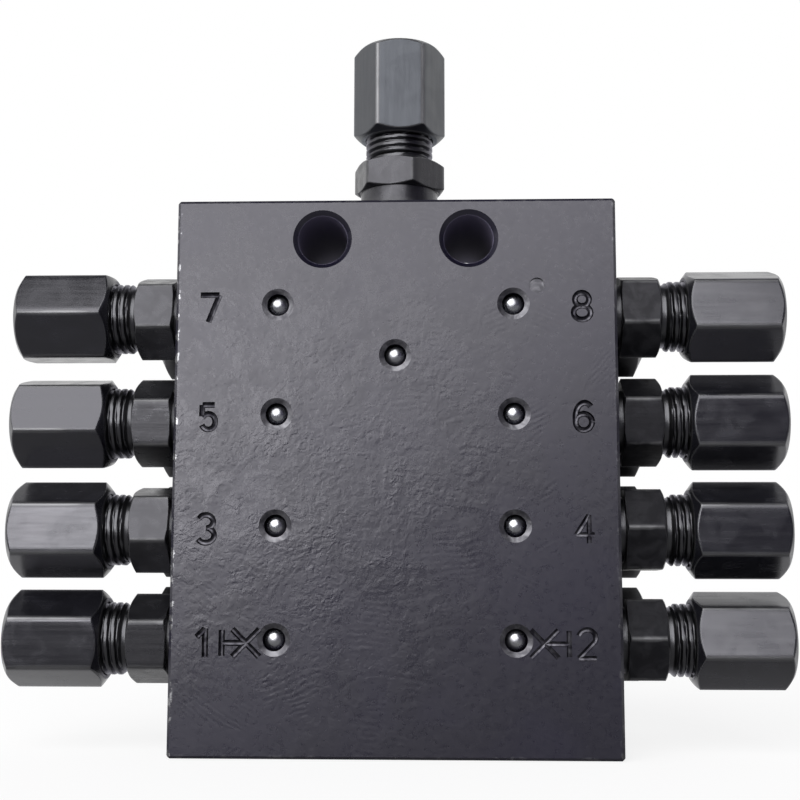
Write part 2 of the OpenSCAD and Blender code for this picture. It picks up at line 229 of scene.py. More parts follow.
def new_group(name, kind, inputs, outputs):
    """An empty node group with named sockets, its graph and its two end nodes."""
    tree = bpy.data.node_groups.new(name, kind)
    for label, socket in inputs.items():
        tree.interface.new_socket(label, in_out="INPUT", socket_type=socket)
    for label, socket in outputs.items():
        tree.interface.new_socket(label, in_out="OUTPUT", socket_type=socket)
    start = tree.nodes.new("NodeGroupInput").outputs
    end = tree.nodes.new("NodeGroupOutput").inputs
    return tree, Graph(tree), start, end


FLOAT = "NodeSocketFloat"
VECTOR = "NodeSocketVector"
GEOMETRY = "NodeSocketGeometry"

# Shares and spans of the shared groups
FINER_BY = 2.7
COARSE_SHARE = 0.7
RUB_SPAN = (0.1, 0.9)
FEED_WANDER = 5.0
LEADING_PATCHES = (0.52, 0.7)
TRAILING_PATCHES = (0.44, 0.3)


def oil_mottle_group():
    """Blotches of a thin oil film and of uneven blackening."""
    inputs = {"Vector": VECTOR, "Scale": FLOAT, "Low": FLOAT, "High": FLOAT}
    tree, graph, start, end = new_group("oil_mottle", "ShaderNodeTree", inputs, {"Mask": FLOAT})
    blotches = graph.noise(start["Vector"], start["Scale"], detail=5.0, distortion=0.8)
    graph.feed(end["Mask"], graph.ramp(blotches, start["Low"], start["High"]))
    return tree


def fine_grain_group():
    """Small pits and grains of a blackened surface."""
    inputs = {"Vector": VECTOR, "Scale": FLOAT}
    tree, graph, start, end = new_group("fine_grain", "ShaderNodeTree", inputs, {"Height": FLOAT})
    coarse = graph.noise(start["Vector"], start["Scale"], detail=3.0)
    finer = graph.noise(start["Vector"], graph.math("MULTIPLY", start["Scale"], FINER_BY))
    coarse = graph.math("MULTIPLY", coarse, COARSE_SHARE)
    finer = graph.math("MULTIPLY", finer, 1 - COARSE_SHARE)
    graph.feed(end["Height"], graph.math("ADD", coarse, finer))
    return tree


def rubbed_edges_group():
    """Bare metal where handling has rubbed the black off an edge, from Low to High of an uneven noise."""
    inputs = {"Edge": FLOAT, "Vector": VECTOR, "Scale": FLOAT, "Low": FLOAT, "High": FLOAT, "Amount": FLOAT}
    tree, graph, start, end = new_group("rubbed_edges", "ShaderNodeTree", inputs, {"Mask": FLOAT})
    broken = graph.noise(start["Vector"], start["Scale"], detail=3.0)
    uneven = graph.math("MULTIPLY", start["Edge"], graph.ramp(broken, start["Low"], start["High"]))
    graph.feed(end["Mask"], graph.math("MULTIPLY", graph.ramp(uneven, *RUB_SPAN), start["Amount"]))
    return tree


def mill_arcs_group():
    """Arcs that a face mill leaves as it is fed along Z, broken up into patches."""
    inputs = {"Vector": VECTOR, "Cutter Radius": FLOAT, "Feed": FLOAT}
    outputs = {"Height": FLOAT, "Patches": FLOAT}
    tree, graph, start, end = new_group("mill_arcs", "ShaderNodeTree", inputs, outputs)
    x, _, z = graph.separate(start["Vector"])
    uneven = graph.noise(start["Vector"], scale=90.0, detail=3.0)
    wander = graph.math("MULTIPLY", graph.math("MULTIPLY", uneven, start["Feed"]), FEED_WANDER)
    radius_squared = graph.math("POWER", start["Cutter Radius"], 2.0)
    sag = graph.math("SQRT", graph.math("SUBTRACT", radius_squared, graph.math("POWER", x, 2.0)))
    waves = []
    for direction in ("SUBTRACT", "ADD"):
        along = graph.math("ADD", graph.math(direction, z, sag), wander)
        turns = graph.math("DIVIDE", graph.math("MULTIPLY", along, 2 * math.pi), start["Feed"])
        waves.append(graph.math("SINE", turns))
    patches = graph.noise(start["Vector"], scale=130.0, detail=3.0, distortion=0.6)
    leading = graph.math("MULTIPLY", waves[0], graph.ramp(patches, *LEADING_PATCHES))
    trailing = graph.math("MULTIPLY", waves[1], graph.ramp(patches, *TRAILING_PATCHES))
    graph.feed(end["Height"], graph.math("ADD", leading, trailing))
    graph.feed(end["Patches"], patches)
    return tree


OIL_MOTTLE = oil_mottle_group()
FINE_GRAIN = fine_grain_group()
RUBBED_EDGES = rubbed_edges_group()
MILL_ARCS = mill_arcs_group()


# Materials

BARE_STEEL = (0.42, 0.42, 0.43, 1.0)
BLACKING_IOR = 1.72
BAR_IOR = 1.65
FITTING_IOR = 1.62
# Lower reflectivity of the right-hand fittings: painted shade on that side of the block
SHADED_SIDE_IOR = 1.36
BLUED = (0.94, 0.93, 1.0, 1.0)
OILED = (0.96, 0.945, 1.0, 1.0)
THREAD_GLOSS = 0.32
THREAD_STEEL = (0.085, 0.085, 0.09, 1.0)
GRAIN_SPAN = (0.3, 0.7)
DRAWN_SHARE = 0.6
DRAWN_SWING = 0.04
GRAIN_SWING = 0.03
CUT_GRAIN = 0.02 * MM
RUBBED_THROUGH = 0.3
RUBBED_ROUGHER = 0.2

# The block's faces
BAR_BLACK = (0.0045, 0.0036, 0.0135, 1.0)
BAR_SMUDGED = (0.004, 0.0034, 0.0105, 1.0)
BAR_OILY = (0.0075, 0.0066, 0.0155, 1.0)
BAR_GLOSS = (0.3, 0.25)
OILY_SHARE = 0.5
MOTTLE_SHARE = (0.2, 1.0)
SMUDGED_DAPPLES = (0.4, 1.0)
SCUFFED_DAPPLES = (0.4, 0.9)
SCUFF_PATCHES = (0.4, 0.62)
SCUFF_SHARE = (0.25, 0.9)
# Bluish grey painted on the mounting holes' walls to set how dark they look: painted shade
BORE_WALL_PAINTED_SHADE = (0.12, 0.108, 0.165, 1.0)
BORE_ROUGHNESS = 0.9
BORE_FADE = (0.05 * MM, 0.01 * MM)
EDGE_FADE = (0.9 * MM, 0.35 * MM)
LEVEL_EDGE_SHARE = 0.3
RIGHT_EDGE_SHARE = 0.5
CUTTER_R = 42.0 * MM
CUTTER_FEED = 0.85 * MM
ARC_SHARE = 0.045
GRAIN_SHARE = 0.17
FACE_RELIEF = 0.05 * MM


def new_material(name):
    """A material, its graph, its shader and the piece's own Object coordinates."""
    material = bpy.data.materials.new(name)
    material.use_nodes = True
    graph = Graph(material.node_tree)
    shader = material.node_tree.nodes["Principled BSDF"]
    return material, graph, shader, graph.add("ShaderNodeTexCoord").outputs["Object"]


def stretched(graph, vector, scale):
    """Coordinates drawn out along an axis, so that a grain turns into lines."""
    return graph.add("ShaderNodeMapping", {"Vector": vector, "Scale": scale}).outputs["Vector"]


def swing(graph, grain, amount):
    """Change of a roughness with a grain, as much down as up."""
    return graph.ramp(grain, *GRAIN_SPAN, -amount, amount)


def bump(graph, shader, height, distance):
    """Feeds a height to the shader's normal."""
    node = graph.add("ShaderNodeBump", {"Height": height, "Strength": 1.0, "Distance": distance})
    graph.feed(shader.inputs["Normal"], node.outputs["Normal"])


def blackened(name, dark, light, roughness, blotch, streak, grain_depth, wear, ior, tint=BLUED):
    """Blackened steel of a fitting: blotches, streaks along its axis, grain, rubbed edges and worn threads.

    The wear is the scale of its noise and its amount."""
    material, graph, shader, here = new_material(name)
    lines = stretched(graph, here, streak)
    mottle = graph.place(OIL_MOTTLE, Vector=here, Scale=blotch, Low=0.38, High=0.66)["Mask"]
    drawn = graph.place(FINE_GRAIN, Vector=lines, Scale=1500.0)["Height"]
    pits = graph.place(FINE_GRAIN, Vector=here, Scale=2600.0)["Height"]
    edge = graph.add("ShaderNodeAttribute", attribute_name="edge").outputs["Fac"]
    turned = graph.add("ShaderNodeAttribute", attribute_name="turned").outputs["Fac"]
    rub = graph.place(
        RUBBED_EDGES, Edge=edge, Vector=here, Scale=wear[0], Low=0.2, High=0.6, Amount=wear[1])["Mask"]
    colour = graph.mix(rub, graph.mix(mottle, dark, light), BARE_STEEL)
    graph.feed(shader.inputs["Base Color"], graph.mix(turned, colour, THREAD_STEEL))
    bare = graph.ramp(rub, 0.0, RUBBED_THROUGH)
    graph.feed(shader.inputs["Metallic"], graph.math("MAXIMUM", bare, turned))
    level = graph.ramp(mottle, 0.0, 1.0, *roughness)
    level = graph.math("ADD", level, swing(graph, drawn, DRAWN_SWING))
    level = graph.math("ADD", level, graph.math("MULTIPLY", bare, RUBBED_ROUGHER))
    level = graph.math("MULTIPLY", level, graph.math("SUBTRACT", 1.0, turned))
    level = graph.math("ADD", level, graph.math("MULTIPLY", turned, THREAD_GLOSS))
    graph.feed(shader.inputs["Roughness"], level)
    shader.inputs["IOR"].default_value = ior
    shader.inputs["Specular Tint"].default_value = tint
    drawn = graph.math("MULTIPLY", drawn, DRAWN_SHARE)
    height = graph.math("ADD", drawn, graph.math("MULTIPLY", pits, 1 - DRAWN_SHARE))
    bump(graph, shader, height, grain_depth)
    return material


def block_edge(graph, here):
    """1 on the chamfers of the block's left upright edges, less on the others, 0 further in."""
    x, y, z = graph.separate(here)
    size = block_high - block_low
    gaps = [
        graph.math("SUBTRACT", size.x / 2, graph.math("ABSOLUTE", x)),
        graph.math("SUBTRACT", size.y / 2, graph.math("ABSOLUTE", y)),
        graph.math("MINIMUM", z, graph.math("SUBTRACT", size.z, z)),
    ]
    upright = graph.ramp(graph.math("ADD", gaps[0], gaps[1]), *EDGE_FADE)
    upright = graph.math("MULTIPLY", upright, graph.ramp(x, -size.x / 4, size.x / 4, 1.0, RIGHT_EDGE_SHARE))
    across = graph.math("MINIMUM", graph.math("ADD", gaps[0], gaps[2]), graph.math("ADD", gaps[1], gaps[2]))
    return graph.math("MAXIMUM", upright, graph.ramp(across, *EDGE_FADE, 0.0, LEVEL_EDGE_SHARE))


def distance_from(graph, x, z, centre):
    """Distance of a point from a centre, as seen from the front."""
    across = graph.math("POWER", graph.math("SUBTRACT", x, centre[0]), 2.0)
    up = graph.math("POWER", graph.math("SUBTRACT", z, centre[1]), 2.0)
    return graph.math("SQRT", graph.math("ADD", across, up))


def mounting_bore(graph, here):
    """1 inside the two mounting holes, where the drill has left a dull wall painted a bluish grey that sets
    how dark the holes look, 0 elsewhere.
    """
    x, _, z = graph.separate(here)
    out = distance_from(graph, graph.math("ABSOLUTE", x), z, (HOLE_OUT, block_high.z - HOLE_DROP))
    return graph.ramp(out, HOLE_R + BORE_FADE[0], HOLE_R + BORE_FADE[1])


def scuffed_patch(graph, here):
    """1 to the left of the block's middle, where handling has scuffed it most, down to 0 around there."""
    x, _, z = graph.separate(here)
    return graph.ramp(distance_from(graph, x, z, SCUFF_AT), *SCUFF_REACH)


def face_relief(graph, here, smudge, scuffed, grain):
    """Height of the block's faces: dapples, patchy scuffs, faint face-milling arcs and grain."""
    dapple = graph.noise(here, scale=650.0, detail=3.0, distortion=0.6)
    dapple = graph.math("MULTIPLY", dapple, graph.ramp(smudge, 0.0, 1.0, *SMUDGED_DAPPLES))
    dapple = graph.math("MULTIPLY", dapple, graph.ramp(scuffed, 0.0, 0.8, *SCUFFED_DAPPLES))
    milling = graph.place(MILL_ARCS, Vector=here, Cutter_Radius=CUTTER_R, Feed=CUTTER_FEED)
    patchy = graph.ramp(milling["Patches"], *SCUFF_PATCHES, *SCUFF_SHARE)
    patchy = graph.math("MULTIPLY", scuffed, patchy)
    scuffs = graph.noise(here, scale=1250.0, distortion=0.9)
    wrinkled = graph.math("ADD", dapple, graph.math("MULTIPLY", scuffs, patchy))
    arcs = graph.math("MULTIPLY", milling["Height"], ARC_SHARE)
    height = graph.math("ADD", arcs, graph.math("MULTIPLY", grain, GRAIN_SHARE))
    return graph.math("ADD", height, wrinkled)


def milled_block():
    """Blackened steel bar with blotches, scuffs, dull mounting holes painted to a set shade, and rubbed
    edges.
    """
    material, graph, shader, here = new_material("black_block")
    scuffed = scuffed_patch(graph, here)
    mottle = graph.place(OIL_MOTTLE, Vector=here, Scale=170.0, Low=0.3, High=0.75)["Mask"]
    mottle = graph.math("MULTIPLY", mottle, graph.ramp(scuffed, 0.0, 0.6, *MOTTLE_SHARE))
    smudge = graph.place(OIL_MOTTLE, Vector=here, Scale=60.0, Low=0.38, High=0.62)["Mask"]
    grain = graph.place(FINE_GRAIN, Vector=here, Scale=1700.0)["Height"]
    edge = block_edge(graph, here)
    rub = graph.place(
        RUBBED_EDGES, Edge=edge, Vector=here, Scale=900.0, Low=0.53, High=0.66, Amount=0.7)["Mask"]
    bore = mounting_bore(graph, here)
    colour = graph.mix(smudge, BAR_BLACK, BAR_SMUDGED)
    colour = graph.mix(graph.math("MULTIPLY", mottle, OILY_SHARE), colour, BAR_OILY)
    # The mounting holes take the bluish grey of painted shade
    colour = graph.mix(bore, graph.mix(rub, colour, BARE_STEEL), BORE_WALL_PAINTED_SHADE)
    graph.feed(shader.inputs["Base Color"], colour)
    graph.feed(shader.inputs["Metallic"], graph.ramp(rub, 0.0, RUBBED_THROUGH))
    level = graph.math("ADD", graph.ramp(mottle, 0.0, 1.0, *BAR_GLOSS), swing(graph, grain, GRAIN_SWING))
    level = graph.math("MAXIMUM", level, graph.math("MULTIPLY", bore, BORE_ROUGHNESS))
    graph.feed(shader.inputs["Roughness"], level)
    shader.inputs["IOR"].default_value = BAR_IOR
    shader.inputs["Specular Tint"].default_value = OILED
    bump(graph, shader, face_relief(graph, here, smudge, scuffed, grain), FACE_RELIEF)
    return material


def cut_steel(name, dark, light, roughness):
    """Walls cut into the block's front face: thinly blackened steel, patchy and a little rough."""
    material, graph, shader, here = new_material(name)
    patches = graph.place(OIL_MOTTLE, Vector=here, Scale=900.0, Low=0.3, High=0.75)["Mask"]
    graph.feed(shader.inputs["Base Color"], graph.mix(patches, dark, light))
    grain = graph.place(FINE_GRAIN, Vector=here, Scale=2200.0)["Height"]
    graph.feed(shader.inputs["Roughness"], graph.ramp(grain, *GRAIN_SPAN, *roughness))
    shader.inputs["Metallic"].default_value = 1.0
    bump(graph, shader, grain, CUT_GRAIN)
    return material


def bright_metal(name, colour, shade, roughness, streak, scale, depth):
    """Bare steel with fine lines, smudges and a little unevenness in its gloss."""
    material, graph, shader, here = new_material(name)
    lines = graph.place(FINE_GRAIN, Vector=stretched(graph, here, streak), Scale=scale)["Height"]
    smudge = graph.place(OIL_MOTTLE, Vector=here, Scale=500.0, Low=0.35, High=0.7)["Mask"]
    graph.feed(shader.inputs["Base Color"], graph.mix(smudge, colour, shade))
    level = graph.math("ADD", graph.ramp(smudge, 0.0, 1.0, *roughness), swing(graph, lines, GRAIN_SWING))
    graph.feed(shader.inputs["Roughness"], level)
    shader.inputs["Metallic"].default_value = 1.0
    bump(graph, shader, lines, depth)
    return material


ALONG_X = (0.06, 1.0, 1.0)
ALONG_Z = (1.0, 1.0, 0.06)
ROUND_X = (1.0, 0.15, 0.15)
EVEN = (1.0, 1.0, 1.0)
NUT_COLOURS = ((0.0065, 0.0065, 0.0085, 1.0), (0.0095, 0.0095, 0.0125, 1.0))
BODY_COLOURS = ((0.003, 0.003, 0.004, 1.0), (0.014, 0.014, 0.016, 1.0))
PLUG_COLOURS = ((0.003, 0.003, 0.004, 1.0), (0.006, 0.006, 0.0075, 1.0))
NUT_BLOTCH = 260.0
BODY_BLOTCH = 420.0
PLUG_BLOTCH = 300.0
NUT_GRAIN = 0.005 * MM
BODY_GRAIN = 0.03 * MM
DULL_GRAIN = 0.04 * MM
PLUG_GRAIN = 0.012 * MM
NUT_GLOSS = (0.2, 0.26)
INLET_GLOSS = (0.34, 0.4)
BODY_GLOSS = (0.36, 0.27)
DULL_GLOSS = (0.42, 0.34)
PLUG_GLOSS = (0.36, 0.44)
NUT_WEAR = (90.0, 0.4)
INLET_WEAR = (60.0, 0.6)
BODY_WEAR = (250.0, 0.32)
PLUG_WEAR = (300.0, 0.1)
INLET_BLUE = (0.86, 0.91, 1.0, 1.0)

black_block = milled_block()
stroke_steel = cut_steel("stroke_steel", (0.02, 0.019, 0.024, 1.0), (0.1, 0.098, 0.11, 1.0), (0.28, 0.38))
sink_steel = cut_steel("sink_steel", (0.06, 0.059, 0.066, 1.0), (0.17, 0.168, 0.18, 1.0), (0.34, 0.44))
side_nut = blackened(
    "black_nut", *NUT_COLOURS, NUT_GLOSS, NUT_BLOTCH, ALONG_X, NUT_GRAIN, NUT_WEAR, BLACKING_IOR)
inlet_nut_black = blackened(
    "black_inlet_nut", *NUT_COLOURS, INLET_GLOSS, NUT_BLOTCH, ALONG_Z, NUT_GRAIN, INLET_WEAR,
    BLACKING_IOR, INLET_BLUE)
side_body = blackened(
    "black_fitting", *BODY_COLOURS, BODY_GLOSS, BODY_BLOTCH, ALONG_X, BODY_GRAIN, BODY_WEAR, FITTING_IOR)
# Right-hand fittings: rougher, and with a lower IOR that paints shade on that side of the block
dull_and_shaded_body = blackened(
    "dull_fitting", *BODY_COLOURS, DULL_GLOSS, BODY_BLOTCH, ALONG_X, DULL_GRAIN, BODY_WEAR, SHADED_SIDE_IOR)
inlet_body_black = blackened(
    "black_inlet_fitting", *BODY_COLOURS, BODY_GLOSS, BODY_BLOTCH, ALONG_Z, BODY_GRAIN, BODY_WEAR,
    FITTING_IOR)
black_plug = blackened(
    "black_plug", *PLUG_COLOURS, PLUG_GLOSS, PLUG_BLOTCH, ALONG_X, PLUG_GRAIN, PLUG_WEAR, FITTING_IOR)
bright_ball = bright_metal(
    "bright_ball", (0.52, 0.53, 0.55, 1.0), (0.38, 0.38, 0.4, 1.0), (0.26, 0.34), EVEN, 1800.0, 0.004 * MM)
ground_steel = bright_metal(
    "ground_steel", (0.52, 0.53, 0.55, 1.0), (0.42, 0.43, 0.45, 1.0), (0.2, 0.3), ROUND_X, 4200.0, 0.006 * MM)
plated_ring = bright_metal(
    "plated_ring", (0.48, 0.46, 0.4, 1.0), (0.4, 0.37, 0.3, 1.0), (0.28, 0.42), ROUND_X, 2600.0, 0.01 * MM)
spring_wire = bright_metal(
    "spring_wire", (0.42, 0.43, 0.45, 1.0), (0.3, 0.31, 0.33, 1.0), (0.25, 0.38), EVEN, 3000.0, 0.008 * MM)


# Turned and hexed pieces

def axis_place(origin, axis, corner):
    """Where a turned piece stands: origin, axis, direction of a hex corner, and the one 90 degrees on."""
    axis = np.array(axis, float)
    corner = np.array(corner, float)
    return np.array(origin, float), axis, corner, np.cross(axis, corner)


def outlet_place(node, number, turn):
    """Place of a piece on an outlet face: stations run outwards from the face."""
    low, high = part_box(f"{node}_{number}")
    middle = (low + high) / 2
    side = 1 if middle.x > 0 else -1
    up = math.radians(turn)
    corner = (0, -math.cos(up), math.sin(up))
    return axis_place((side * block_high.x, middle.y, middle.z), (side, 0, 0), corner)


def inlet_place(node, turn):
    """Place of a piece on the top face: stations run upwards from the face."""
    low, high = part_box(node)
    middle = (low + high) / 2
    right = math.radians(turn)
    corner = (math.sin(right), -math.cos(right), 0)
    return axis_place((middle.x, middle.y, block_high.z), (0, 0, 1), corner)


def stations(node, place):
    """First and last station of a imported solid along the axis."""
    origin, axis = place[:2]
    ends = [float(np.dot(np.array(corner) - origin, axis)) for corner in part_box(node)]
    return min(ends), max(ends)


def with_broken_corners(points, closed):
    """Outline points (station, radius, kind, worn), with a small flat in place of each sharp corner.

    A point's kind is that of the stretch that leaves it: plain, hex, neck or thread."""
    result = []
    for i, (station, radius, kind) in enumerate(points):
        here = np.array([station, radius])
        before = here - np.array(points[i - 1][:2])
        after = np.array(points[(i + 1) % len(points)][:2]) - here
        lengths = np.linalg.norm(before), np.linalg.norm(after)
        at_end = not closed and i in (0, len(points) - 1)
        if at_end or min(lengths) < CORNER_ROOM:
            result.append((station, radius, kind, 0.0))
            continue
        before = before / lengths[0]
        after = after / lengths[1]
        turn = math.atan2(before[0] * after[1] - before[1] * after[0], float(before @ after))
        if abs(turn) < CORNER_MIN_TURN:
            result.append((station, radius, kind, 0.0))
            continue
        worn = CORNER_WORN if turn < 0 else 0.0
        earlier = points[i - 1][2]
        result.append((*(here - CORNER_FLAT * before), "flat_" + earlier, worn))
        result.append((*(here + CORNER_FLAT * after), kind, worn))
    return result


def outline_rows(points, closed):
    """The outline's rows: stations, radii, kinds and wear, fine enough for cones and threads."""
    corners = with_broken_corners(points, closed)
    rows = []
    pairs = zip(corners, corners[1:] + corners[:1]) if closed else zip(corners, corners[1:])
    for (s0, r0, kind, worn), (s1, r1, _, next_worn) in pairs:
        length = math.hypot(s1 - s0, r1 - r0)
        if kind == "thread":
            steps = max(1, round(length / PITCH * THREAD_STEPS))
        elif kind == "hex":
            steps = max(HEX_STEPS, round(length / CONE_STEP)) if r0 != r1 else HEX_STEPS
        else:
            steps = 1
        for k in range(steps):
            t = k / steps
            wear = worn * max(0.0, 1 - t * steps) + next_worn * max(0.0, 1 - (1 - t) * steps)
            rows.append((s0 + (s1 - s0) * t, r0 + (r1 - r0) * t, kind.replace("flat_", ""), wear))
    if not closed:
        rows.append((*corners[-1][:2], "plain", 0.0))
    return rows


def hex_reach(angles, flats):
    """Radius of a hex bar with slightly rounded edges; its corners stand at 0, 60, 120 degrees and on."""
    facing = np.abs(np.cos(angles[:, None] - np.radians((30, 90, 150))))
    return flats / 2 / np.sum(facing ** EDGE_POWER, axis=1) ** (1 / EDGE_POWER)


def thread_ridge(phase):
    """Height of a thread with worn crests, from 0 in the root to 1 on the crest."""
    turn = phase - np.floor(phase)
    return np.clip((1 - np.abs(2 * turn - 1) - THREAD_ROOT) / THREAD_FLANKS, 0, 1)


def column_angles():
    """Angles of a turned piece's columns, crowded towards the hex corners."""
    across_sector = 2 * np.arange(SECTOR_COLUMNS) / SECTOR_COLUMNS - 1
    crowded = np.sign(across_sector) * (1 - (1 - np.abs(across_sector)) ** CORNER_CROWDING)
    return np.concatenate([np.radians(60 * k + 30 + 30 * crowded) for k in range(6)])


def hex_stretch(angles, flats, envelope, worn):
    """Radii and wear of rows where a hex bar meets its turned envelope."""
    bar = hex_reach(angles, flats)[None, :]
    radius = -EDGE_BLEND * np.logaddexp(-bar / EDGE_BLEND, -envelope / EDGE_BLEND)
    off_corner = np.degrees(np.minimum(angles % (np.pi / 3), np.pi / 3 - angles % (np.pi / 3)))
    along = np.exp(-(off_corner / EDGE_SPREAD) ** 2)[None, :] * (bar < envelope + EDGE_BLEND)
    round_end = END_WORN * np.exp(-((bar - envelope) / END_SPREAD) ** 2)
    return radius, np.maximum(worn * (envelope < bar), np.maximum(along, round_end))


def ring_faces(row_count, column_count, closed):
    """Faces between rings of points, and from the last ring to the first where the outline is closed."""
    faces = []
    for i in range(row_count if closed else row_count - 1):
        a = i * column_count
        b = (i + 1) % row_count * column_count
        for j in range(column_count):
            k = (j + 1) % column_count
            faces.append((a + j, a + k, b + k, b + j))
    return faces


def turned_mesh(name, place, points, flats=None, crest=MALE_R, closed=True):
    """Mesh of a turned piece from its half section, with hexed and threaded stretches."""
    angles = column_angles()
    rows = outline_rows(points, closed)
    station = np.array([row[0] for row in rows])
    radius = np.repeat(np.array([[row[1]] for row in rows]), len(angles), axis=1)
    kinds = np.array([row[2] for row in rows])
    edge = np.repeat(np.array([[row[3]] for row in rows]), len(angles), axis=1)
    hexed = kinds == "hex"
    if hexed.any():
        radius[hexed], edge[hexed] = hex_stretch(angles, flats, radius[hexed], edge[hexed])
    threaded = kinds == "thread"
    if threaded.any():
        ridge = thread_ridge(station[threaded][:, None] / PITCH - angles[None, :] / (2 * np.pi))
        radius[threaded] = np.minimum(radius[threaded], crest - THREAD_DEPTH * (1 - ridge))
    turned = np.repeat(np.isin(kinds, ("thread", "neck"))[:, None], len(angles), axis=1)

    origin, axis, corner, across = place
    outward = np.cos(angles)[:, None] * corner + np.sin(angles)[:, None] * across
    grid = origin + station[:, None, None] * axis + radius[:, :, None] * outward[None, :, :]
    mesh = bpy.data.meshes.new(name)
    mesh.from_pydata(grid.reshape(-1, 3).tolist(), [], ring_faces(*radius.shape, closed))
    for label, values in (("edge", edge), ("turned", turned)):
        layer = mesh.attributes.new(label, "FLOAT", "POINT")
        layer.data.foreach_set("value", values.astype(np.float32).ravel())
    finish_mesh(mesh)
    return mesh


def finish_mesh(mesh, merge=TURNED_MERGE, sharp_degrees=TURNED_SHARP):
    """Closes poles, and shades smoothly apart from real edges."""
    work = bmesh.new()
    work.from_mesh(mesh)
    bmesh.ops.remove_doubles(work, verts=work.verts, dist=merge)
    bmesh.ops.dissolve_degenerate(work, edges=work.edges, dist=merge)
    work.to_mesh(mesh)
    work.free()
    mesh.shade_smooth()
    mesh.set_sharp_from_angle(angle=math.radians(sharp_degrees))


def show(name, mesh, material, replaced, body=HOUSING):
    """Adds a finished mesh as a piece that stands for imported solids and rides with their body."""
    mesh.materials.clear()
    mesh.materials.append(material)
    piece = bpy.data.objects.new(name, mesh)
    bpy.context.scene.collection.objects.link(piece)
    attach(piece, body)
    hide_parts(*replaced)
    return piece


def nut_outline(start, end, flats, shoulder):
    """Half section of a union nut: coned hex outside, thread, shoulder and tube hole inside."""
    corner = flats / math.sqrt(3)
    rim = corner - NUT_CONE_CUT
    return [
        (start, THREAD_R, "plain"), (start, rim, "hex"), (start + NUT_CONE, corner, "hex"),
        (end - NUT_CONE, corner, "hex"), (end, rim, "plain"), (end, NUT_HOLE_R, "plain"),
        (shoulder + THREAD_R - NUT_HOLE_R, NUT_HOLE_R, "plain"), (shoulder, THREAD_R, "plain"),
    ]


def body_outline(start, end, under_head, neck_r, hex_span, flats, hex_back, lower_r, lower_end):
    """Half section of a screw-in fitting: port thread, hex, tube thread, sealing cone and way."""
    corner = flats / math.sqrt(3)
    back, back_cut = hex_back
    front, front_cut = HEX_CONE
    low, high = hex_span
    thread_from = high + RELIEF_LENGTH
    stop = end - CONE_LENGTH - SOCKET_LENGTH
    return [
        (start, lower_r, "plain"), (start, MALE_R - THREAD_CHAMFER, "thread"),
        (start + THREAD_CHAMFER, MALE_R, "thread"), *under_head,
        (low, neck_r, "plain"), (low, corner - back_cut, "hex"), (low + back, corner, "hex"),
        (high - front, corner, "hex"), (high, corner - front_cut, "plain"), (high, RELIEF_R, "neck"),
        (thread_from, RELIEF_R, "thread"), (thread_from + RELIEF_CUT, MALE_R, "thread"),
        (end - THREAD_CHAMFER, MALE_R, "thread"), (end, MALE_R - THREAD_CHAMFER, "plain"),
        (end, CONE_R, "plain"), (end - CONE_LENGTH, TUBE_R, "plain"), (stop, TUBE_R, "plain"),
        (stop, WAY_R, "plain"), (lower_end, WAY_R, "plain"), (lower_end, lower_r, "plain"),
    ]


def plug_outline(start, end):
    """Half section of a piston plug: thread, collar and a hex with a turned end."""
    corner = PLUG_FLATS / math.sqrt(3)
    return [
        (start, 0.0, "plain"), (start, PLUG_THREAD_R - THREAD_CHAMFER, "thread"),
        (start + THREAD_CHAMFER, PLUG_THREAD_R, "thread"), (0.0, PLUG_THREAD_R, "plain"),
        (0.0, PLUG_COLLAR_R, "plain"), (PLUG_COLLAR, PLUG_COLLAR_R, "plain"),
        (PLUG_COLLAR, corner - HEX_CONE[1], "hex"), (PLUG_COLLAR + HEX_CONE[0], corner, "hex"),
        (end - PLUG_CONE, corner, "hex"), (end, PLUG_END_R, "plain"), (end, 0.0, "plain"),
    ]


def add_outlets():
    """Body, union nut and piston plug of each outlet."""
    under_head = [(-RELIEF_CUT, MALE_R, "neck"), (0.0, RELIEF_R, "neck")]
    for n in OUTLETS:
        body, nut, plug = f"outlet_body_{n}", f"outlet_nut_{n}", f"piston_plug_{n}"
        place = outlet_place("outlet_body", n, BODY_TURNS[n - 1])
        start, end = stations(body, place)
        outline = body_outline(
            start, end, under_head, RELIEF_R, BODY_HEX, BODY_FLATS, HEX_BACK, VALVE_R, SPRING_ROOM_END)
        mesh = turned_mesh(f"outlet_fitting_{n}", place, outline, BODY_FLATS)
        # Right-hand fittings take the copy with painted shade
        show(f"outlet_fitting_{n}", mesh, side_body if n % 2 else dull_and_shaded_body, [body])

        shoulder = end + SHOULDER_GAP
        place = outlet_place("outlet_nut", n, NUT_TURNS[n - 1])
        outline = nut_outline(*stations(nut, place), NUT_FLATS, shoulder)
        mesh = turned_mesh(f"union_nut_{n}", place, outline, NUT_FLATS)
        show(f"union_nut_{n}", mesh, side_nut, [nut])

        place = outlet_place("piston_plug", n, PLUG_TURNS[n - 1])
        outline = plug_outline(*stations(plug, place))
        mesh = turned_mesh(f"end_plug_{n}", place, outline, PLUG_FLATS, PLUG_THREAD_R, closed=False)
        show(f"end_plug_{n}", mesh, black_plug, [plug])


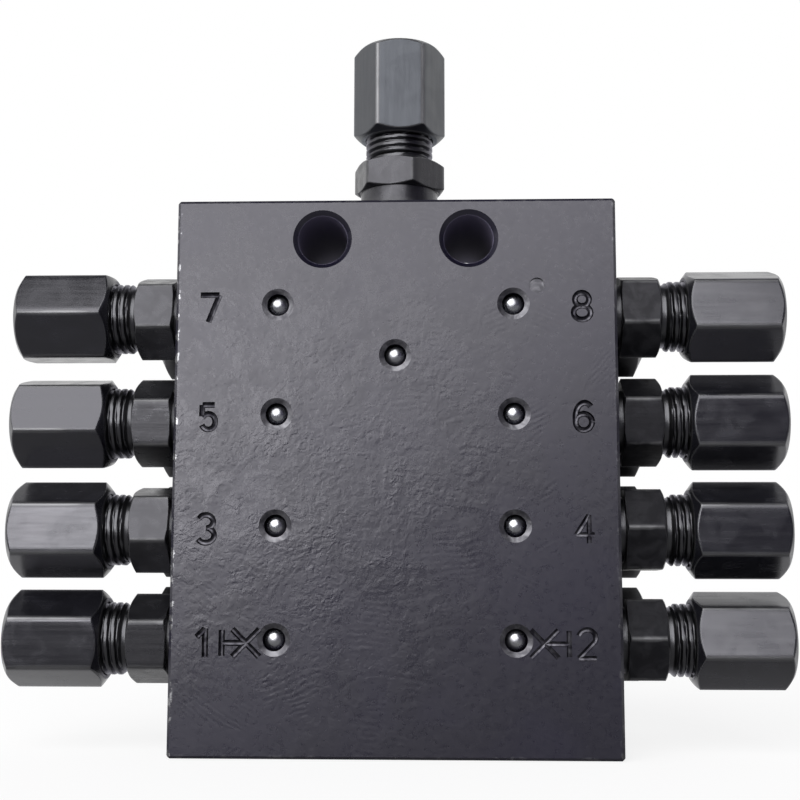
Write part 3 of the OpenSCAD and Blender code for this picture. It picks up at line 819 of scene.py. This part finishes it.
def add_inlet():
    """Fitting and union nut on the top face."""
    under_head = [(0.0, MALE_R, "plain"), (0.0, SHOULDER_R, "plain")]
    place = inlet_place("inlet_body", INLET_BODY_TURN)
    start, end = stations("inlet_body", place)
    outline = body_outline(
        start, end, under_head, SHOULDER_R, INLET_HEX, INLET_FLATS, HEX_CONE, WAY_R, 0.0)
    # The way has one width all through, so the step at its lower end drops out
    outline = [point for point in outline if point[:2] != (0.0, WAY_R)]
    mesh = turned_mesh("inlet_fitting", place, outline, INLET_FLATS)
    show("inlet_fitting", mesh, inlet_body_black, ["inlet_body"])

    shoulder = end + SHOULDER_GAP
    place = inlet_place("inlet_nut", INLET_NUT_TURN)
    outline = nut_outline(*stations("inlet_nut", place), INLET_FLATS, shoulder)
    mesh = turned_mesh("inlet_union_nut", place, outline, INLET_FLATS)
    show("inlet_union_nut", mesh, inlet_nut_black, ["inlet_nut"])


# Geometry node trees for what repeats or follows a path

def new_growth(name, sizes):
    """A geometry node group that takes points or a path, the sizes named and a material."""
    inputs = {"Geometry": GEOMETRY, **sizes, "Material": "NodeSocketMaterial"}
    return new_group(name, "GeometryNodeTree", inputs, {"Geometry": GEOMETRY})


def end_growth(graph, start, end, geometry):
    """Ends a tree: makes its instances real and sets the material."""
    whole = graph.add("GeometryNodeRealizeInstances", {"Geometry": geometry}).outputs[0]
    painted = graph.add("GeometryNodeSetMaterial", {"Geometry": whole, "Material": start["Material"]})
    graph.feed(end["Geometry"], painted.outputs[0])


def swept_wire_tree():
    """Sweeps a round wire along the edges of a path."""
    tree, graph, start, end = new_growth("swept_wire", {"Wire Radius": FLOAT, "Sides": "NodeSocketInt"})
    path = graph.add("GeometryNodeMeshToCurve", {"Mesh": start["Geometry"]}).outputs[0]
    sockets = {"Radius": start["Wire Radius"], "Resolution": start["Sides"]}
    ring = graph.add("GeometryNodeCurvePrimitiveCircle", sockets).outputs["Curve"]
    sockets = {"Curve": path, "Profile Curve": ring, "Fill Caps": True}
    wire = graph.add("GeometryNodeCurveToMesh", sockets).outputs[0]
    end_growth(graph, start, end, wire)
    return tree


def set_balls_tree():
    """Sets one ball at each point."""
    tree, graph, start, end = new_growth("set_balls", {"Ball Radius": FLOAT})
    sockets = {"Radius": start["Ball Radius"], "Subdivisions": BALL_SUBDIVISIONS}
    ball = graph.add("GeometryNodeMeshIcoSphere", sockets).outputs[0]
    sockets = {"Points": start["Geometry"], "Instance": ball}
    balls = graph.add("GeometryNodeInstanceOnPoints", sockets).outputs[0]
    end_growth(graph, start, end, balls)
    return tree


def grown(name, points, edges, tree, **inputs):
    """Plain mesh that a geometry node tree grows from points and the edges between them."""
    seed_mesh = bpy.data.meshes.new(name)
    seed_mesh.from_pydata([tuple(p) for p in points], edges, [])
    holder = bpy.data.objects.new(name + "_path", seed_mesh)
    bpy.context.scene.collection.objects.link(holder)
    modifier = holder.modifiers.new("grow", "NODES")
    modifier.node_group = tree
    for item in tree.interface.items_tree:
        label = item.name.replace(" ", "_")
        if item.in_out == "INPUT" and label in inputs:
            modifier[item.identifier] = inputs[label]
    result = bpy.data.meshes.new_from_object(holder.evaluated_get(bpy.context.evaluated_depsgraph_get()))
    holder.modifiers.remove(modifier)
    bpy.data.objects.remove(holder)
    result.name = name
    return result


SWEPT_WIRE = swept_wire_tree()
SET_BALLS = set_balls_tree()


def coil_height(turn, low, high):
    """Height of a spring's wire after a number of turns: the two end turns lie closed."""
    wire = 2 * SPRING_WIRE_R
    if turn < 1:
        return low + turn * wire
    if turn > SPRING_TURNS - 1:
        return high - (SPRING_TURNS - turn) * wire
    return low + wire + (turn - 1) * (high - low - 2 * wire) / (SPRING_TURNS - 2)


def add_springs():
    """Smooth wire for each check spring, set where its imported solid was."""
    for n in OUTLETS:
        node = f"check_spring_{n}"
        origin, axis, corner, across = outlet_place("outlet_body", n, 0)
        low, high = stations(node, (origin, axis))
        points = []
        for i in range(SPRING_TURNS * SPRING_STEPS + 1):
            turn = i / SPRING_STEPS
            angle = 2 * math.pi * turn
            out = SPRING_COIL_R * (math.cos(angle) * corner + math.sin(angle) * across)
            points.append(origin + axis * coil_height(turn, low + SPRING_WIRE_R, high - SPRING_WIRE_R) + out)
        edges = [(i, i + 1) for i in range(len(points) - 1)]
        mesh = grown(f"valve_spring_{n}", points, edges, SWEPT_WIRE,
                     Wire_Radius=SPRING_WIRE_R, Sides=SPRING_SIDES, Material=spring_wire)
        finish_mesh(mesh)
        spring = show(f"valve_spring_{n}", mesh, spring_wire, [node])
        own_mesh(spring)


def side_of(n):
    """1 for the right-hand outlets, which have even numbers, and -1 for the left-hand ones."""
    return 1 if n % 2 == 0 else -1


def row_heights():
    """Height of each outlet's axis."""
    return {n: sum((corner.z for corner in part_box(f"outlet_nut_{n}")), 0.0) / 2 for n in OUTLETS}


def ball_places():
    """Centres of the balls in the front face: one by each outlet and one in the middle."""
    drill_x = block_high.x - DRILL_INSET
    y = block_low.y + BALL_BEHIND
    heights = row_heights()
    places = [(side_of(n) * drill_x, y, heights[n] + DRILL_RISE) for n in OUTLETS]
    return places + [(0.0, y, heights[TOP_OUTLET] - MIDDLE_DROP)]


def add_balls():
    """Pressed balls that close the drillings of the front face."""
    mesh = grown("pressed_balls", ball_places(), [], SET_BALLS, Ball_Radius=BALL_R, Material=bright_ball)
    finish_mesh(mesh)
    show("pressed_balls", mesh, bright_ball, ["ball_plugs"])


# Stamped numbers and marks

def arc(x, y, rx, ry, start, end, steps=16):
    """Points of an elliptic arc, in degrees from the right, anticlockwise."""
    turns = [math.radians(start + (end - start) * k / steps) for k in range(steps + 1)]
    return [(x + rx * math.cos(t), y + ry * math.sin(t)) for t in turns]


# Strokes of each number in a cell one wide and one high, centred on 0
NUMBER_STROKES = {
    1: [[(-0.42, 0.2), (0.05, 0.5)], [(0.05, 0.5), (0.05, -0.5)]],
    2: [arc(0.0, 0.22, 0.46, 0.28, 165, -35) + [(-0.46, -0.5)], [(-0.46, -0.5), (0.5, -0.5)]],
    3: [arc(-0.03, 0.26, 0.42, 0.24, 155, -85), arc(-0.03, -0.23, 0.48, 0.27, 85, -150)],
    4: [[(0.2, -0.5), (0.2, 0.5)], [(0.2, 0.5), (-0.5, -0.2)], [(-0.5, -0.2), (0.5, -0.2)]],
    5: [[(0.36, 0.45), (-0.34, 0.45)], [(-0.34, 0.45), (-0.36, 0.03)], arc(0.0, -0.16, 0.4, 0.29, 145, -155)],
    6: [arc(0.0, -0.2, 0.46, 0.3, 0, 360), arc(0.06, -0.06, 0.52, 0.56, 48, 185)],
    7: [[(-0.56, 0.48), (0.52, 0.48)], [(0.52, 0.48), (-0.1, -0.54)]],
    8: [arc(0.0, 0.25, 0.4, 0.25, -90, 270), arc(0.0, -0.24, 0.48, 0.26, 90, 450)],
}


def number_strokes(n, height):
    """Strokes of an outlet's number on the front face, as lists of (x, z)."""
    x = side_of(n) * (block_high.x - DIGIT_INSET)
    return [
        [(x + u * DIGIT_WIDTH, height + v * DIGIT_HEIGHT) for u, v in stroke] for stroke in NUMBER_STROKES[n]]


def bar_and_cross_strokes(n, height):
    """Strokes of the mark beside each of the two lowest outlets, as lists of (x, z)."""
    bar = side_of(n) * (block_high.x - BAR_INSET)
    cross = side_of(n) * (block_high.x - CROSS_INSET)
    strokes = [[(bar, height + BAR_HALF), (bar, height - BAR_HALF)], [(bar, height), (cross, height)]]
    for rise in (-CROSS_HALF, CROSS_HALF):
        strokes.append([(cross - CROSS_HALF, height - rise), (cross + CROSS_HALF, height + rise)])
    return strokes


def stamp_strokes():
    """Strokes on the front face, as lists of (x, y, z): the outlet numbers and two bar-and-cross marks."""
    strokes = []
    for n, height in row_heights().items():
        flat = number_strokes(n, height)
        if n in MARKED_OUTLETS:
            flat += bar_and_cross_strokes(n, height)
        y = block_low.y - (LIGHT_OUT if n in LIGHT_STAMPS else 0.0)
        strokes += [[(x, y, z) for x, z in stroke] for stroke in flat]
    return strokes


def is_cut_wall(face):
    """True in the strokes, the countersinks and the index spot, close behind the front face."""
    behind = face.center.y - block_low.y
    under_holes = block_high.z - HOLE_DROP - HOLE_R - face.center.z
    within = min(block_high.x - abs(face.center.x), face.center.z, under_holes)
    return CUT_DEPTH[0] < behind < CUT_DEPTH[1] and within > EDGE_CLEAR


def stamp_punch():
    """The stamp's strokes as round wires, for cutting into the front face."""
    points, edges = [], []
    for stroke in stamp_strokes():
        first = len(points)
        points += stroke
        edges += [(i, i + 1) for i in range(first, len(points) - 1)]
    return grown(
        "punch", points, edges, SWEPT_WIRE, Wire_Radius=STAMP_R, Sides=STAMP_SIDES, Material=black_block)


def merged_copy(name, solid):
    """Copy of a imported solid's mesh with its loose triangles joined."""
    mesh = bpy.data.meshes.new(name)
    corners = [tuple(vertex.co) for vertex in solid.vertices]
    mesh.from_pydata(corners, [], [tuple(face.vertices) for face in solid.polygons])
    work = bmesh.new()
    work.from_mesh(mesh)
    bmesh.ops.remove_doubles(work, verts=work.verts, dist=SOLID_MERGE)
    work.to_mesh(mesh)
    work.free()
    return mesh


def cut_out(mesh, tool_mesh):
    """New mesh: the first one with the second one cut out of it."""
    bar = bpy.data.objects.new("bar", mesh)
    tool = bpy.data.objects.new("tool", tool_mesh)
    for thing in (bar, tool):
        bpy.context.scene.collection.objects.link(thing)
    cut = bar.modifiers.new("stamp", "BOOLEAN")
    cut.object = tool
    cut.operation = "DIFFERENCE"
    cut.solver = "EXACT"
    cut.use_self = True
    result = bpy.data.meshes.new_from_object(bar.evaluated_get(bpy.context.evaluated_depsgraph_get()))
    for thing in (bar, tool):
        bpy.data.objects.remove(thing)
    return result


def add_block():
    """The block, with its numbers and marks stamped into the front face."""
    mesh = cut_out(merged_copy("bar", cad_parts["block"].data), stamp_punch())
    finish_mesh(mesh, CUT_MERGE, CUT_SHARP)
    mesh.name = "stamped_block"
    show("stamped_block", mesh, black_block, ["block"])
    mesh.materials.append(stroke_steel)
    mesh.materials.append(sink_steel)
    spot_x, spot_y, spot_z = ball_places()[OUTLETS.index(TOP_OUTLET)]
    sinks = ball_places() + [(spot_x + SPOT_OUT, spot_y, spot_z + SPOT_RISE)]
    for face in mesh.polygons:
        if is_cut_wall(face):
            nearest = min(math.hypot(face.center.x - x, face.center.z - z) for x, _, z in sinks)
            face.material_index = 2 if nearest < SINK_R else 1


def paint_hidden_solids():
    """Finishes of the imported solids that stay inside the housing."""
    finishes = {
        "outlet_ring": plated_ring, "inlet_ring": plated_ring,
        "check_ball": bright_ball, "piston": ground_steel,
    }
    for name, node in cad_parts.items():
        stem = name.rstrip("0123456789").rstrip("_")
        if stem in finishes:
            node.material_slots[0].material = finishes[stem]


# Studio

FLOOR_R = 4.0
FLOOR_DROP = 0.1 * MM
FLOOR_SIDES = 64
SOFTBOX_DISTANCE = 3.0
SOFTBOX_SIZE = (3.6, 3.75)
SOFTBOX_RADIANCE = 3.4
SOFTBOX_LEFT = math.radians(20)
SOFTBOX_UP = math.radians(31)
SOFTBOX_ROLL = math.radians(31)
PANEL_DISTANCE = 2.5
PANEL_SIZE = (0.8, 0.5)
PANEL_RADIANCE = 3.4
PANEL_LEFT = math.radians(17)
PANEL_UP = math.radians(4)
ROOM_FRONT = (0.08, 0.074, 0.112, 1.0)
ROOM_ABOVE = (0.11, 0.11, 0.12, 1.0)
WHITE = (1.0, 1.0, 1.0, 1.0)
SWEEP_TURN = 0.3
SWEEP_TO_FRONT = (0.1, -0.6)
SWEEP_TO_ABOVE = (0.74, 0.84)
# Grey paper that bounce light and mirrors in front of the block see, darker still further forward: painted
# shade in the metal's reflections, while the camera sees PAPER_SEEN
PAPER = (0.32, 0.32, 0.32, 1.0)
PAPER_PAINTED_SHADE = (0.2, 0.2, 0.22, 1.0)
PAPER_SEEN = (0.95, 0.95, 0.95, 1.0)
PAINTED_SHADE_FROM = (-40.0 * MM, -120.0 * MM)
MIRROR_FROM = (-12.0 * MM, 8.0 * MM)
FADE_AWAY = (50.0 * MM, 400.0 * MM)
FADE_SHARE = (0.82, 1.0)


def add_camera():
    """Camera at the photograph's viewing angle."""
    camera = bpy.data.objects.new("camera", bpy.data.cameras.new("camera"))
    camera.data.lens = LENS
    camera.data.sensor_width = SENSOR
    camera.data.clip_start = NEAR_CLIP
    camera.location = CAMERA_AT
    look = (CAMERA_AIM - CAMERA_AT).to_track_quat("-Z", "Y")
    camera.rotation_euler = (look @ Quaternion((0, 0, 1), CAMERA_ROLL)).to_euler()
    bpy.context.scene.collection.objects.link(camera)
    bpy.context.scene.camera = camera


def add_light(name, size, radiance, left, up, roll, distance):
    """A soft panel of even radiance that faces the block from the front, some way to the left and up."""
    lamp = bpy.data.lights.new(name, "AREA")
    lamp.shape = "RECTANGLE"
    lamp.size, lamp.size_y = size
    lamp.energy = radiance * math.pi * lamp.size * lamp.size_y
    light = bpy.data.objects.new(name, lamp)
    middle = Vector((0, 0, block_high.z / 2))
    flat = math.cos(up)
    towards = Vector((-math.sin(left) * flat, -math.cos(left) * flat, math.sin(up)))
    right = Vector((math.cos(left), -math.sin(left), 0))
    level = Matrix((right, towards.cross(right), towards)).transposed()
    light.location = middle + towards * distance
    light.rotation_euler = (level @ Matrix.Rotation(roll, 3, "Z")).to_euler()
    bpy.context.scene.collection.objects.link(light)


def add_room():
    """World: white sweep behind and around, a darker room in front and above."""
    world = bpy.data.worlds.new("room")
    bpy.context.scene.world = world
    world.use_nodes = True
    graph = Graph(world.node_tree)
    x, y, z = graph.separate(graph.add("ShaderNodeTexCoord").outputs["Generated"])
    front = graph.math("SUBTRACT", y, graph.math("MULTIPLY", x, SWEEP_TURN))
    front = graph.ramp(front, *SWEEP_TO_FRONT)
    above = graph.ramp(z, *SWEEP_TO_ABOVE)
    room = graph.mix(above, graph.mix(front, WHITE, ROOM_FRONT), ROOM_ABOVE)
    seen = graph.add("ShaderNodeLightPath").outputs["Is Camera Ray"]
    graph.feed(world.node_tree.nodes["Background"].inputs["Color"], graph.mix(seen, room, WHITE))


def floor_paper():
    """Pale paper that keeps the shadow and fades to white, for the camera and behind the block in mirrors; in
    front it is painted grey, darker further forward, as painted shade in reflections.
    """
    material = bpy.data.materials.new("floor_paper")
    material.use_nodes = True
    graph = Graph(material.node_tree)
    material.node_tree.nodes.remove(material.node_tree.nodes["Principled BSDF"])
    here = graph.add("ShaderNodeTexCoord").outputs["Object"]
    _, y, _ = graph.separate(here)
    away = graph.add("ShaderNodeVectorMath", {0: here}, operation="LENGTH").outputs["Value"]
    rays = graph.add("ShaderNodeLightPath").outputs
    mirrored = graph.math("MAXIMUM", rays["Is Glossy Ray"], rays["Is Transmission Ray"])
    mirrored = graph.math("MULTIPLY", mirrored, graph.ramp(y, *MIRROR_FROM))
    seen = graph.math("MAXIMUM", rays["Is Camera Ray"], mirrored)
    fade = graph.math("MULTIPLY", seen, graph.ramp(away, *FADE_AWAY, *FADE_SHARE))
    # Mirrors in front of the block see the grey paper, darker further forward: painted shade in reflections
    colour = graph.mix(seen, graph.mix(graph.ramp(y, *PAINTED_SHADE_FROM), PAPER, PAPER_PAINTED_SHADE), PAPER_SEEN)
    paper = graph.add("ShaderNodeBsdfDiffuse", {"Color": colour}).outputs[0]
    white = graph.add("ShaderNodeEmission", {"Color": WHITE, "Strength": 1.0}).outputs[0]
    blend = graph.add("ShaderNodeMixShader", {0: fade, 1: paper, 2: white}).outputs[0]
    graph.feed(material.node_tree.nodes["Material Output"].inputs["Surface"], blend)
    return material


def add_floor():
    """Round floor, just under the block."""
    mesh = bpy.data.meshes.new("studio_floor")
    work = bmesh.new()
    bmesh.ops.create_circle(work, cap_ends=True, cap_tris=False, segments=FLOOR_SIDES, radius=FLOOR_R)
    bmesh.ops.translate(work, verts=work.verts, vec=(0, 0, -FLOOR_DROP))
    work.to_mesh(mesh)
    work.free()
    mesh.materials.append(floor_paper())
    floor = bpy.data.objects.new("studio_floor", mesh)
    bpy.context.scene.collection.objects.link(floor)


add_camera()
add_block()
add_balls()
add_outlets()
add_inlet()
add_springs()
paint_hidden_solids()
add_light("softbox", SOFTBOX_SIZE, SOFTBOX_RADIANCE, SOFTBOX_LEFT, SOFTBOX_UP, SOFTBOX_ROLL, SOFTBOX_DISTANCE)
add_light("low_panel", PANEL_SIZE, PANEL_RADIANCE, PANEL_LEFT, PANEL_UP, 0.0, PANEL_DISTANCE)
add_room()
add_floor()
bpy.context.scene.view_settings.view_transform = "Standard"
